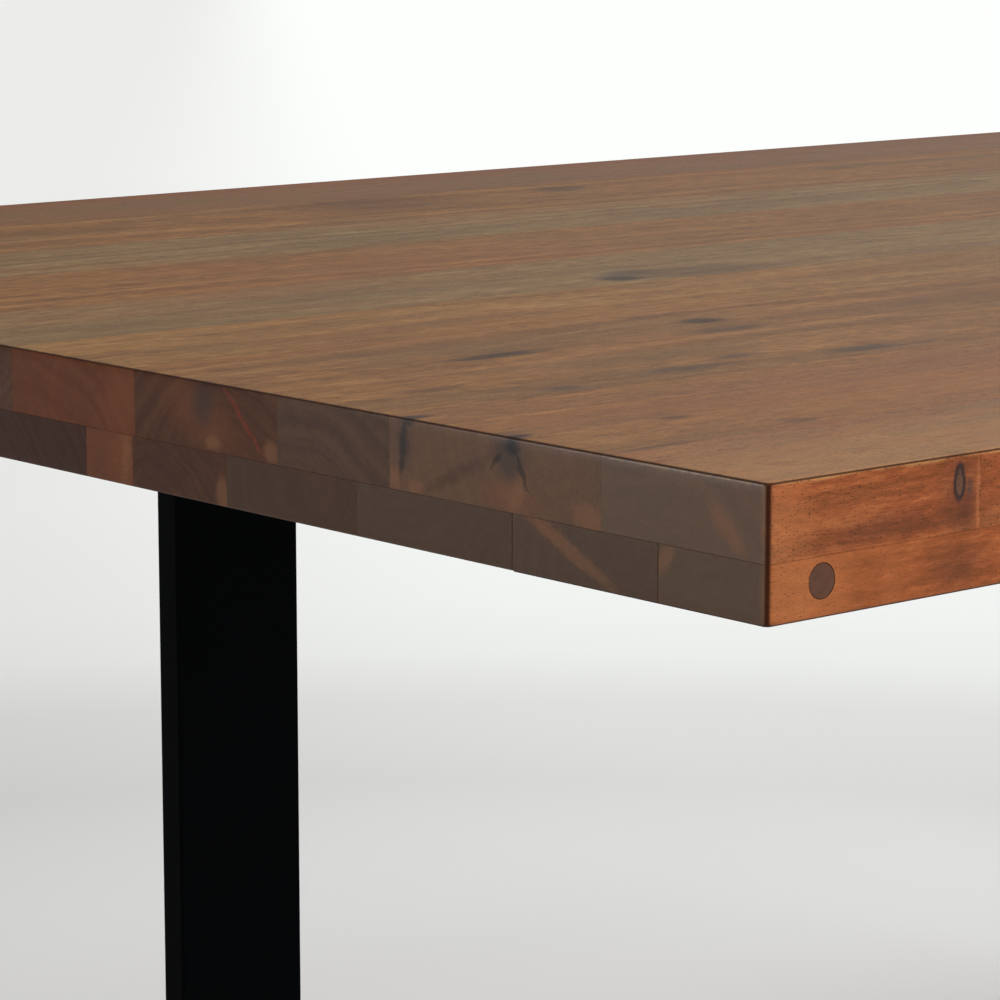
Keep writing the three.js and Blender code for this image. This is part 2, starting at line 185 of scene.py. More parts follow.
@dataclass
class Workpiece:
    """A mesh being shaped in edit mode, whose object stays at the origin."""

    obj: bpy.types.Object

    @classmethod
    def taken_up(cls, name: str) -> Workpiece:
        """Takes up the primitive that was just added.

        Args:
            name: The piece's name.

        Returns:
            The piece, with its place and size put in its mesh.
        """
        bpy.ops.object.transform_apply(location=True, rotation=True, scale=True)
        obj = bpy.context.object
        obj.name = obj.data.name = name
        return cls(obj)

    @classmethod
    def block(cls, name: str, low: Vector, high: Vector) -> Workpiece:
        """Starts from a rectangular block.

        Args:
            name: The piece's name.
            low: Its lowest corner.
            high: Its highest corner.

        Returns:
            The block.
        """
        clear_bench()
        bpy.ops.mesh.primitive_cube_add(size=1, location=(low + high) / 2, scale=high - low)
        return cls.taken_up(name)

    @classmethod
    def rod(cls, name: str, base: Vector, radius: float, length: float, axis: int, sides: int) -> Workpiece:
        """Starts from a round bar.

        Args:
            name: The piece's name.
            base: The middle of the end that has the lower coordinate.
            radius: The bar's radius.
            length: Its length along the axis.
            axis: Y or Z.
            sides: How many facets go round it.

        Returns:
            The bar.
        """
        centre = base.copy()
        centre[axis] += length / 2
        turn = (math.pi / 2, 0, 0) if axis == Y else (0, 0, 0)
        clear_bench()
        bpy.ops.mesh.primitive_cylinder_add(
            vertices=sides, radius=radius, depth=length, location=centre, rotation=turn
        )
        return cls.taken_up(name)

    @classmethod
    def turned(
        cls, name: str, base: Vector, steps: Sequence[tuple[float, float]], sides: int
    ) -> Workpiece:
        """Turns a stepped upright piece, from a flat round face at its foot.

        Args:
            name: The piece's name.
            base: The middle of its foot.
            steps: The radius and the height of each step, from the lowest up.
            sides: How many facets go round it.

        Returns:
            The piece.
        """
        width = steps[0][0]
        clear_bench()
        bpy.ops.mesh.primitive_circle_add(vertices=sides, radius=width, location=base, fill_type="NGON")
        piece = cls.taken_up(name)
        for radius, height in steps:
            if radius != width:
                piece.raise_face(0, radius / width, base)
            piece.raise_face(height, 1.0, base)
            width = radius
        return piece

    def copied(self, name: str, shift: Vector = Vector((0, 0, 0))) -> Workpiece:
        """Copies the piece.

        Args:
            name: The copy's name.
            shift: How far its mesh is moved.

        Returns:
            The copy, which has a mesh of its own.
        """
        copy = self.obj.copy()
        copy.data = self.obj.data.copy()
        copy.name = copy.data.name = name
        copy.data.transform(Matrix.Translation(shift))
        bpy.context.scene.collection.objects.link(copy)
        return Workpiece(copy)

    @contextmanager
    def editing(self, mode: str) -> Iterator[bmesh.types.BMesh]:
        """Opens the piece in edit mode with nothing selected.

        Args:
            mode: What is selected in there: "VERT", "EDGE" or "FACE".

        Yields:
            The mesh that is being edited, for picking edges and faces by their place.
        """
        clear_bench()
        self.obj.select_set(True)
        bpy.context.view_layer.objects.active = self.obj
        bpy.ops.object.mode_set(mode="EDIT")
        bpy.ops.mesh.select_mode(type=mode)
        bpy.ops.mesh.select_all(action="DESELECT")
        yield bmesh.from_edit_mesh(self.obj.data)
        bpy.ops.object.mode_set(mode="OBJECT")

    def bevel(self, picked: Callable[[Edge], bool], width: float, segments: int) -> Workpiece:
        """Rounds some edges, or chamfers them.

        Args:
            picked: Says whether an edge is one of them.
            width: How far the round reaches from the edge.
            segments: How many facets it has, where 1 is a chamfer.

        Returns:
            The piece.
        """
        with self.editing("EDGE") as mesh:
            for edge in mesh.edges:
                edge.select_set(picked(edge))
            bmesh.update_edit_mesh(self.obj.data)
            bpy.ops.mesh.bevel(offset=width, segments=segments, affect="EDGES", clamp_overlap=False)
        return self

    def cut(self, point: Vector, outward: Vector) -> Workpiece:
        """Saws off all that lies past a plane, and closes the cut.

        Args:
            point: A point on the plane.
            outward: The plane's direction, towards what is taken off.

        Returns:
            The piece.
        """
        with self.editing("FACE"):
            bpy.ops.mesh.select_all(action="SELECT")
            bpy.ops.mesh.bisect(
                plane_co=point, plane_no=outward, use_fill=True, clear_outer=True, threshold=MERGED
            )
        return self

    def raise_face(self, height: float, scale: float, centre: Vector) -> Workpiece:
        """Extrudes the highest face on an upright axis straight up, and scales it about the axis.

        Args:
            height: How far up it goes. With 0 the face is only inset.
            scale: The new face's size as a share of the old one's.
            centre: A point on the axis.

        Returns:
            The piece.
        """
        with self.editing("FACE") as mesh:
            on_axis = [f for f in mesh.faces if (f.calc_center_median() - centre).xy.length < SAME_PLACE]
            max(on_axis, key=lambda face: face.calc_center_median().z).select_set(True)
            bmesh.update_edit_mesh(self.obj.data)
            bpy.ops.mesh.extrude_region_move(TRANSFORM_OT_translate={"value": (0, 0, height)})
            bpy.ops.transform.resize(value=(scale, scale, 1), center_override=centre)
        return self

    def subtract(self, cutter: Workpiece) -> Workpiece:
        """Cuts the shape of another piece out of this one.

        Args:
            cutter: The other piece, which is used up.

        Returns:
            The piece.
        """
        clear_bench()
        self.obj.select_set(True)
        bpy.context.view_layer.objects.active = self.obj
        modifier = self.obj.modifiers.new("cut", "BOOLEAN")
        modifier.operation = "DIFFERENCE"
        modifier.object = cutter.obj
        bpy.ops.object.modifier_apply(modifier=modifier.name)
        bpy.data.objects.remove(cutter.obj)
        return self

    def finished(self, smooth_below: float = 40) -> bpy.types.Object:
        """Turns the faces outwards, and shades the rounds smooth and the flats flat.

        Args:
            smooth_below: Edges that turn by less than this, in degrees, are shaded smooth.

        Returns:
            The piece's object.
        """
        with self.editing("FACE"):
            bpy.ops.mesh.select_all(action="SELECT")
            bpy.ops.mesh.remove_doubles(threshold=MERGED)
            bpy.ops.mesh.normals_make_consistent(inside=False)
        bpy.ops.object.shade_smooth_by_angle(angle=math.radians(smooth_below))
        modifier = self.obj.modifiers.new("flat faces", "WEIGHTED_NORMAL")
        modifier.keep_sharp = True
        bpy.ops.object.modifier_apply(modifier=modifier.name)
        return self.obj


def dress(obj: bpy.types.Object, material: Material, body: str, replaces: str) -> None:
    """Gives a new piece its finish and its body, and hides the CAD node that it stands for.

    Args:
        obj: The piece.
        material: Its finish.
        body: The body that it moves with.
        replaces: The CAD node's name.
    """
    obj.data.materials.clear()
    obj.data.materials.append(material)
    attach(obj, body)
    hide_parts(replaces)
    LOG.info("%s: %d faces, rides on %s", obj.name, len(obj.data.polygons), body)


# ---- Finishes ----


class Tone(Enum):
    """What shade a stave took from the same brown stain: its deep, body and light colours."""

    WARM = ("6b4520", "8b5d2e", "a47342")
    OLIVE = ("6a4e2d", "88673f", "9e8259")
    RED = ("683413", "81411f", "97552d")
    DARK = ("4a2f1b", "62422a", "78543a")
    TAN = ("704921", "8f6331", "aa7d49")


class Feature(Enum):
    """A mark in the wood: its colour, how fully it covers, and how soft its edge is.

    The front and back sheen marks are painted sheen along the top. The pale marks on the front side
    by the left corner are a painted glint. The rest are natural marks.
    """

    KNOT = ("12151a", 0.70, 1.0)
    CRACK = ("0e1014", 0.62, 1.0)
    RING = ("10121a", 0.92, 0.45)
    HEART = ("5a3b29", 0.85, 0.7)
    MINERAL = ("23272b", 0.52, 1.4)
    SHADOW = ("3b2217", 0.42, 1.6)
    # Painted sheen: a lighter band over the front stave's top, standing in for the varnish mirroring the
    # light.
    PAINTED_FRONT_SHEEN = ("b98e58", 0.50, 1.5)
    # Painted sheen: a greyer band over the back stave's top, standing in for the varnish mirroring the
    # light.
    PAINTED_BACK_SHEEN = ("7f6341", 0.58, 1.5)
    SAPWOOD = ("8f6040", 0.50, 1.0)
    # Pale streaks in the wood; on the front side by the left corner this colour is a painted glint.
    PALE_AND_GLINT = ("a5663c", 0.34, 1.4)
    FLAME = ("96552f", 0.26, 1.4)
    RED_VEIN = ("8c2f1a", 0.50, 1.3)


@dataclass(frozen=True)
class Mark:
    """One mark, as an ellipsoid in the wood: a natural mark, painted sheen or a painted glint. Millimetres.

    Attributes:
        feature: What it is.
        centre: Its middle, from the slab's left end, front side and top face: x, y, depth.
        half: Its half-lengths along its own axes.
        turn: How far it is turned, in degrees about X and about Z.
    """

    feature: Feature
    centre: tuple[float, float, float]
    half: tuple[float, float, float]
    turn: tuple[float, float] = (0, 0)


# How far the grain's patterns wander off the straight, in millimetres: the length and the width of
# the bends, and how far they reach. The outlines of the marks are ragged in the same way.
GRAIN_BENDS = (240, 50, 26)
MARK_BENDS = (20, 5, 5)

# The patterns that follow the bends and the ones too fine to: the length of a feature along the
# grain and its size across it, in millimetres, and how many octaves finer it goes.
BENT_PATTERNS = {
    "cloud": (230, 48, 2),
    "blush": (330, 70, 2),
    "fibre": (48, 3.4, 3),
    "curl": (24, 7.0, 3),
    "fleck": (9, 1.7, 2),
}
STRAIGHT_PATTERNS = {"fine": (7, 0.5, 1), "dashes": (1.9, 0.28, 0)}

# How much each pattern counts in the wood's shade. The rings count for more on the end grain.
SHARES = {"fibre": 0.18, "curl": 0.26, "fleck": 0.34, "fine": 0.18, "cloud": 0.06}
RING_SHARE_ALONG, RING_SHARE_END = 0.22, 0.5
RAMP_DEEP, RAMP_BODY, RAMP_LIGHT = 0.38, 0.5, 0.62

# Blotches where the stain took unevenly: the pattern, where it starts and is at its most, how fully
# it then covers, and its colour.
BLOTCHES = (
    ("cloud", 0.46, 0.68, 0.5, "6d5231"),
    ("blush", 0.50, 0.72, 0.35, "8e5328"),
)
END_COVER = 0.84
PORE_COVER, PORE_STAIN = 0.66, "1a0d07"
# The dark line on the rounded edges: stain gathered there, and painted shade where the rounds turn from the
# light.
EDGE_COVER, EDGE_STAIN_AND_SHADE = 0.88, "260b05"

CROWN_WIDTH, CROWN_HEIGHT = mm(4.5), mm(0.36)
PORE_DEPTH = mm(0.1)


@dataclass(frozen=True)
class StainedAcacia:
    """Acacia stave, planed and sanded, wiped with brown stain and rubbed with a satin oil varnish.

    The pattern is solid, so that the growth rings that show as arcs on the end run on as long
    grain over the other faces. The stain sinks deepest into the end grain and the sharp edges, so
    both are darker, and the dark line on the edges also holds painted shade. The varnish gives a
    soft sheen at a low angle, and the end grain's colour and some marks hold painted sheen and glints.

    Attributes:
        name: The stave's name.
        tone: The shade it took.
        end_stain_and_sheen: The colour that its end grain goes towards, as sRGB hex. In the front rows
            it is greyer and lighter, a painted sheen by the left front corner over the end grain's own
            colour.
        pith: Where the rings' centre is, in millimetres from the stave's front edge and top: y, depth.
        rings: Distance between growth rings, in millimetres.
        seed: Moves the pattern on to a stretch of its own.
        corner: The slab's corner that the marks are measured from, at its top left front.
        opposite: The slab's opposite corner, at its bottom right back.
        origin: The stave's front edge and top, as y and z in metres.
        marks: Its marks: natural ones, with some painted sheen and glints.
        crosswise: Whether the grain runs along Y, as in a dowel, and not along X.
    """

    name: str
    tone: Tone
    end_stain_and_sheen: str
    pith: tuple[float, float]
    rings: float
    seed: int
    corner: Vector
    opposite: Vector
    origin: tuple[float, float]
    marks: tuple[Mark, ...] = ()
    crosswise: bool = False

    def material(self) -> Material:
        """Builds the material and returns it."""
        material, tree = new_material("stained_acacia_" + self.name)
        where = add_node(tree, "TexCoord")
        place, normal = where.outputs["Object"], where.outputs["Normal"]
        if self.crosswise:
            quarter = (0, 0, math.pi / 2)
            place = add_node(tree, "Mapping", {"Vector": place, "Rotation": quarter}).outputs[0]
            normal = add_node(tree, "Mapping", {"Vector": normal, "Rotation": quarter}).outputs[0]
        facing = add_node(tree, "VectorMath", {0: normal}, operation="ABSOLUTE").outputs[0]
        facing_x, facing_y, facing_z = add_node(tree, "SeparateXYZ", {0: facing}).outputs
        end = add_node(
            tree, "MapRange", {"Value": facing_x, "From Min": 0.55, "From Max": 0.95}
        ).outputs[0]
        edge = self.edge_line(tree, (facing_x, facing_y, facing_z))
        grain = self.grain(tree, place)
        shade = self.shade(tree, grain, end)
        for share, code in self.layers(tree, place, grain, end, edge):
            shade = add_node(
                tree, "Mix", {0: share, 6: shade, 7: colour(code)}, data_type="RGBA"
            ).outputs[2]
        roughness = add_node(
            tree,
            "MapRange",
            {"Value": grain["fibre"], "From Min": 0.3, "From Max": 0.7, "To Min": 0.31, "To Max": 0.41},
        ).outputs[0]
        surface = add_node(
            tree,
            "BsdfPrincipled",
            {
                "Base Color": shade,
                "Roughness": roughness,
                "Specular IOR Level": self.sheen(tree, facing_z, edge),
                "IOR": 1.45,
                "Normal": self.relief(tree, where.outputs["Object"], grain),
            },
        )
        add_node(tree, "OutputMaterial", {"Surface": surface.outputs[0]})
        return material

    def sheen(self, tree: Tree, upward: Socket, edge: Socket) -> Socket:
        """Works out how strongly the varnish mirrors.

        The top was rubbed up more than the sides were, and the varnish is thin on the edges.

        Args:
            tree: The material's tree.
            upward: How far a point faces up or down.
            edge: How far a point is on a rounded edge.

        Returns:
            The socket that holds the strength.
        """
        rubbed = add_node(tree, "MapRange", {"Value": upward, "To Min": 0.15, "To Max": 0.32}).outputs[0]
        kept = add_node(tree, "MapRange", {"Value": edge, "To Min": 1.0, "To Max": 0.3}).outputs[0]
        return add_node(tree, "Math", {0: rubbed, 1: kept}, operation="MULTIPLY").outputs[0]

    def relief(self, tree: Tree, place: Socket, grain: dict[str, Socket]) -> Socket:
        """Works out the way the surface faces, with its pores, fibres and crowned edges.

        Sanding leaves the faces slightly crowned in the last millimetres before each edge of the
        slab, and the crown catches the light.

        Args:
            tree: The material's tree.
            place: Where a point is in the slab.
            grain: The wood's patterns, by name.

        Returns:
            The socket that holds the normal.
        """
        centre = (self.corner + self.opposite) / 2
        half = [abs(v) for v in (self.opposite - self.corner) / 2]
        off = add_node(tree, "VectorMath", {0: place, 1: centre}, operation="SUBTRACT").outputs[0]
        off = add_node(tree, "VectorMath", {0: off}, operation="ABSOLUTE").outputs[0]
        near = add_node(
            tree,
            "MapRange",
            {6: off, 7: [v - CROWN_WIDTH for v in half], 8: half},
            data_type="FLOAT_VECTOR",
        ).outputs["Vector"]
        fallen = add_node(tree, "VectorMath", {0: near, 1: near}, operation="DOT_PRODUCT").outputs["Value"]
        height = add_node(tree, "Math", {0: fallen, 1: -1.0}, operation="MULTIPLY").outputs[0]
        crown = add_node(
            tree, "Bump", {"Height": height, "Strength": 1.0, "Distance": CROWN_HEIGHT}
        ).outputs[0]
        felt = add_node(
            tree, "Math", {0: grain["pores"], 1: -1.0, 2: grain["fine"]}, operation="MULTIPLY_ADD"
        ).outputs[0]
        return add_node(
            tree, "Bump", {"Height": felt, "Strength": 0.3, "Distance": PORE_DEPTH, "Normal": crown}
        ).outputs[0]

    def stretched(self, tree: Tree, place: Socket, along: float, across: float) -> Socket:
        """Works out coordinates that count the features of a pattern.

        Args:
            tree: The material's tree.
            place: Where a point is.
            along: A feature's length along the grain, in millimetres.
            across: Its size across the grain, in millimetres.

        Returns:
            The socket that holds the coordinates.
        """
        scale = (1 / mm(along), 1 / mm(across), 1 / mm(across))
        start = (3.7 * self.seed, 1.3 * self.seed, 2.1 * self.seed)
        return add_node(tree, "Mapping", {"Vector": place, "Scale": scale, "Location": start}).outputs[0]

    def wandering(self, tree: Tree, place: Socket, bends: tuple[float, float, float]) -> Socket:
        """Moves a place to and fro across the grain.

        Args:
            tree: The material's tree.
            place: Where a point is.
            bends: The bends' length and width, and about twice how far they go, in millimetres.

        Returns:
            The socket that holds the moved place.
        """
        along, across, reach = bends
        noise = add_node(
            tree, "TexNoise", {"Vector": self.stretched(tree, place, along, across), "Scale": 1, "Detail": 4}
        ).outputs["Color"]
        centred = add_node(
            tree, "VectorMath", {0: noise, 1: (0.5, 0.5, 0.5)}, operation="SUBTRACT"
        ).outputs[0]
        return add_node(
            tree,
            "VectorMath",
            {0: centred, 1: (0, mm(reach), mm(reach)), 2: place},
            operation="MULTIPLY_ADD",
        ).outputs[0]

    def grain(self, tree: Tree, place: Socket) -> dict[str, Socket]:
        """Adds the wood's patterns: its rings, its figure and its pores.

        Args:
            tree: The material's tree.
            place: Where a point is, with the grain along X.

        Returns:
            The sockets that hold the patterns, by name.
        """
        bent = self.wandering(tree, place, GRAIN_BENDS)
        y, z = self.origin
        pith = (0, y + mm(self.pith[0]), z - mm(self.pith[1]))
        from_pith = add_node(tree, "VectorMath", {0: bent, 1: pith}, operation="SUBTRACT").outputs[0]
        lean = (0, math.radians(0.5), math.radians(1.2 if self.seed % 2 else -1.2))
        leaning = add_node(tree, "Mapping", {"Vector": from_pith, "Rotation": lean}).outputs[0]
        across = add_node(tree, "VectorMath", {0: leaning, 1: (0, 1, 1)}, operation="MULTIPLY").outputs[0]
        radius = add_node(tree, "VectorMath", {0: across}, operation="LENGTH").outputs["Value"]
        rings = add_node(
            tree,
            "TexNoise",
            {"W": radius, "Scale": 1 / mm(self.rings), "Detail": 2, "Roughness": 0.6},
            noise_dimensions="1D",
        )
        patterns = {"rings": rings.outputs[0]}
        for source, sizes in ((bent, BENT_PATTERNS), (place, STRAIGHT_PATTERNS)):
            for name, (along, wide, detail) in sizes.items():
                noise = add_node(
                    tree,
                    "TexNoise",
                    {
                        "Vector": self.stretched(tree, source, along, wide),
                        "Scale": 1,
                        "Detail": detail,
                        "Roughness": 0.6,
                    },
                )
                patterns[name] = noise.outputs[0]
        # Pores are more crowded where the wood is cloudy.
        least = add_node(
            tree,
            "MapRange",
            {"Value": patterns["cloud"], "From Min": 0.35, "From Max": 0.65, "To Min": 0.69, "To Max": 0.60},
        ).outputs[0]
        most = add_node(tree, "Math", {0: least, 1: 0.07}, operation="ADD").outputs[0]
        patterns["pores"] = add_node(
            tree, "MapRange", {"Value": patterns["dashes"], "From Min": least, "From Max": most}
        ).outputs[0]
        return patterns

    def shade(self, tree: Tree, grain: dict[str, Socket], end: Socket) -> Socket:
        """Works out the stained wood's own colour, before anything lies over it.

        Args:
            tree: The material's tree.
            grain: The wood's patterns, by name.
            end: How far a point is on end grain.

        Returns:
            The socket that holds the colour.
        """
        deep, body, light = (colour(code) for code in self.tone.value)
        weight = add_node(
            tree, "MapRange", {"Value": end, "To Min": RING_SHARE_ALONG, "To Max": RING_SHARE_END}
        ).outputs[0]
        mixed = add_node(tree, "Math", {0: grain["rings"], 1: -0.5}, operation="ADD").outputs[0]
        mixed = add_node(tree, "Math", {0: mixed, 1: weight, 2: -0.01}, operation="MULTIPLY_ADD").outputs[0]
        for name, share in SHARES.items():
            mixed = add_node(
                tree, "Math", {0: grain[name], 1: share, 2: mixed}, operation="MULTIPLY_ADD"
            ).outputs[0]
        stops = ((RAMP_DEEP, deep), (RAMP_BODY, body), (RAMP_LIGHT, light))
        return add_node(tree, "ValToRGB", {0: mixed}, stops).outputs[0]

    def layers(
        self, tree: Tree, place: Socket, grain: dict[str, Socket], end: Socket, edge: Socket
    ) -> Iterator[tuple[Socket, str]]:
        """Gives what lies over the wood's own colour, from the lowest layer up.

        Args:
            tree: The material's tree.
            place: Where a point is.
            grain: The wood's patterns, by name.
            end: How far a point is on end grain.
            edge: How far a point is on a rounded edge.

        Yields:
            How fully a layer covers, and its colour as sRGB hex.
        """
        for pattern, start, full, cover, code in BLOTCHES:
            blotch = add_node(
                tree,
                "MapRange",
                {"Value": grain[pattern], "From Min": start, "From Max": full, "To Max": cover},
            )
            yield blotch.outputs[0], code
        # The end grain's stain, whose colour in the front rows holds a painted sheen.
        yield add_node(tree, "Math", {0: end, 1: END_COVER}, operation="MULTIPLY").outputs[0], self.end_stain_and_sheen
        ragged = self.wandering(tree, place, MARK_BENDS)
        for mark in self.marks:
            yield self.marked(tree, ragged, mark), mark.feature.value[0]
        pores = add_node(tree, "Math", {0: grain["pores"], 1: PORE_COVER}, operation="MULTIPLY")
        yield pores.outputs[0], PORE_STAIN
        yield edge, EDGE_STAIN_AND_SHADE

    def marked(self, tree: Tree, ragged: Socket, mark: Mark) -> Socket:
        """Works out how fully a mark covers, be it a natural mark, painted sheen or a painted glint.

        Args:
            tree: The material's tree.
            ragged: Where a point is, moved so that the mark's outline is ragged.
            mark: The mark.

        Returns:
            The socket that holds the share.
        """
        _, cover, soft = mark.feature.value
        x, y, depth = (mm(v) for v in mark.centre)
        near = add_node(
            tree,
            "Mapping",
            {
                "Vector": ragged,
                "Location": self.corner + Vector((x, y, -depth)),
                "Rotation": (math.radians(mark.turn[0]), 0, math.radians(mark.turn[1])),
                "Scale": [mm(v) for v in mark.half],
            },
            vector_type="TEXTURE",
        )
        away = add_node(tree, "VectorMath", {0: near.outputs[0]}, operation="LENGTH").outputs["Value"]
        outer, inner = 1 + soft / 2, max(0.0, 1 - soft / 2)
        return add_node(
            tree,
            "MapRange",
            {"Value": away, "From Min": outer, "From Max": inner, "To Max": cover},
            interpolation_type="SMOOTHSTEP",
        ).outputs[0]

    def edge_line(self, tree: Tree, facing: tuple[Socket, Socket, Socket]) -> Socket:
        """Works out the dark line on the rounded edges: stain gathered there, and painted shade where the
        rounds turn from the light.

        Args:
            tree: The material's tree.
            facing: How far a point faces along X, Y and Z.

        Returns:
            The socket that holds how fully the line covers.
        """
        most = add_node(tree, "Math", {0: facing[X], 1: facing[Y]}, operation="MAXIMUM").outputs[0]
        most = add_node(tree, "Math", {0: most, 1: facing[Z]}, operation="MAXIMUM").outputs[0]
        return add_node(
            tree, "MapRange", {"Value": most, "From Min": 0.96, "From Max": 0.82, "To Max": EDGE_COVER}
        ).outputs[0]


@dataclass(frozen=True)
class PowderCoat:
    """Black polyester powder coat, baked on steel: satin, with a fine orange peel.

    Attributes:
        peel: The orange peel's spacing, in millimetres.
        peel_depth: Its depth, in metres.
        patches: Size of the patches that baked a little duller, in millimetres.
    """

    peel: float = 1.4
    peel_depth: float = mm(0.08)
    patches: float = 90

    def material(self) -> Material:
        """Builds the material and returns it."""
        material, tree = new_material("black_powder_coat")
        place = add_node(tree, "TexCoord").outputs["Object"]
        peel = add_node(tree, "TexNoise", {"Vector": place, "Scale": 1 / mm(self.peel), "Detail": 2})
        patch = add_node(tree, "TexNoise", {"Vector": place, "Scale": 1 / mm(self.patches), "Detail": 3})
        tint = add_node(
            tree, "ValToRGB", {0: patch.outputs[0]}, ((0.0, colour("020303")), (1.0, colour("05070a")))
        )
        dull = add_node(
            tree,
            "MapRange",
            {"Value": patch.outputs[0], "From Min": 0.3, "From Max": 0.7, "To Min": 0.38, "To Max": 0.46},
        )
        bump = add_node(
            tree, "Bump", {"Height": peel.outputs[0], "Strength": 0.2, "Distance": self.peel_depth}
        )
        surface = add_node(
            tree,
            "BsdfPrincipled",
            {
                "Base Color": tint.outputs[0],
                "Roughness": dull.outputs[0],
                "Specular IOR Level": 0.014,
                "Normal": bump.outputs[0],
            },
        )
        add_node(tree, "OutputMaterial", {"Surface": surface.outputs[0]})
        return material


@dataclass(frozen=True)
class ZincPlate:
    """Bright zinc plate on steel fasteners: pale grey metal with a faint cloudiness.

    Attributes:
        clouds: Size of the clouds, in millimetres.
    """

    clouds: float = 3

    def material(self) -> Material:
        """Builds the material and returns it."""
        material, tree = new_material("zinc_plated_steel")
        place = add_node(tree, "TexCoord").outputs["Object"]
        cloud = add_node(tree, "TexNoise", {"Vector": place, "Scale": 1 / mm(self.clouds), "Detail": 3})
        tint = add_node(
            tree, "ValToRGB", {0: cloud.outputs[0]}, ((0.0, colour("9a9c9b")), (1.0, colour("c9cbc8")))
        )
        dull = add_node(
            tree,
            "MapRange",
            {"Value": cloud.outputs[0], "From Min": 0.3, "From Max": 0.7, "To Min": 0.28, "To Max": 0.42},
        )
        surface = add_node(
            tree,
            "BsdfPrincipled",
            {"Base Color": tint.outputs[0], "Metallic": 1.0, "Roughness": dull.outputs[0]},
        )
        add_node(tree, "OutputMaterial", {"Surface": surface.outputs[0]})
        return material


@dataclass(frozen=True)
class MouldedNylon:
    """Black nylon moulded round a zinc-plated stud: matte, slightly mottled, steel above the collar.

    Attributes:
        collar: The height where the nylon ends and the steel begins, in metres.
        mottle: Size of the mottling, in millimetres.
        mottle_depth: Its depth, in metres.
    """

    collar: float
    mottle: float = 0.8
    mottle_depth: float = mm(0.05)

    def material(self) -> Material:
        """Builds the material and returns it."""
        material, tree = new_material("moulded_nylon_glide")
        place = add_node(tree, "TexCoord").outputs["Object"]
        height = add_node(tree, "SeparateXYZ", {0: place}).outputs[Z]
        steel = add_node(tree, "Math", {0: height, 1: self.collar}, operation="GREATER_THAN").outputs[0]
        mottle = add_node(tree, "TexNoise", {"Vector": place, "Scale": 1 / mm(self.mottle), "Detail": 2})
        tint = add_node(
            tree, "ValToRGB", {0: mottle.outputs[0]}, ((0.0, colour("101112")), (1.0, colour("1c1d1e")))
        )
        both = add_node(tree, "Mix", {0: steel, 6: tint.outputs[0], 7: colour("b4b6b4")}, data_type="RGBA")
        bump = add_node(
            tree, "Bump", {"Height": mottle.outputs[0], "Strength": 0.3, "Distance": self.mottle_depth}
        )
        surface = add_node(
            tree,
            "BsdfPrincipled",
            {
                "Base Color": both.outputs[2],
                "Metallic": steel,
                "Roughness": 0.55,
                "Normal": bump.outputs[0],
            },
        )
        add_node(tree, "OutputMaterial", {"Surface": surface.outputs[0]})
        return material


# ---- The top ----


@dataclass(frozen=True)
class StavePlan:
    """How one row of staves was chosen: its tone, end grain, rings and marks. The end grain's colour
    and some marks also hold painted sheen and glints. Millimetres.
    """

    tone: Tone
    end_stain_and_sheen: str
    pith: tuple[float, float]
    rings: float = 5.0
    marks: tuple[Mark, ...] = ()


KNOT, RING, HEART, MINERAL = Feature.KNOT, Feature.RING, Feature.HEART, Feature.MINERAL
SHADOW, CRACK, PALE_AND_GLINT = Feature.SHADOW, Feature.CRACK, Feature.PALE_AND_GLINT
PAINTED_FRONT_SHEEN, PAINTED_BACK_SHEEN, SAPWOOD = Feature.PAINTED_FRONT_SHEEN, Feature.PAINTED_BACK_SHEEN, Feature.SAPWOOD
FLAME, RED_VEIN = Feature.FLAME, Feature.RED_VEIN
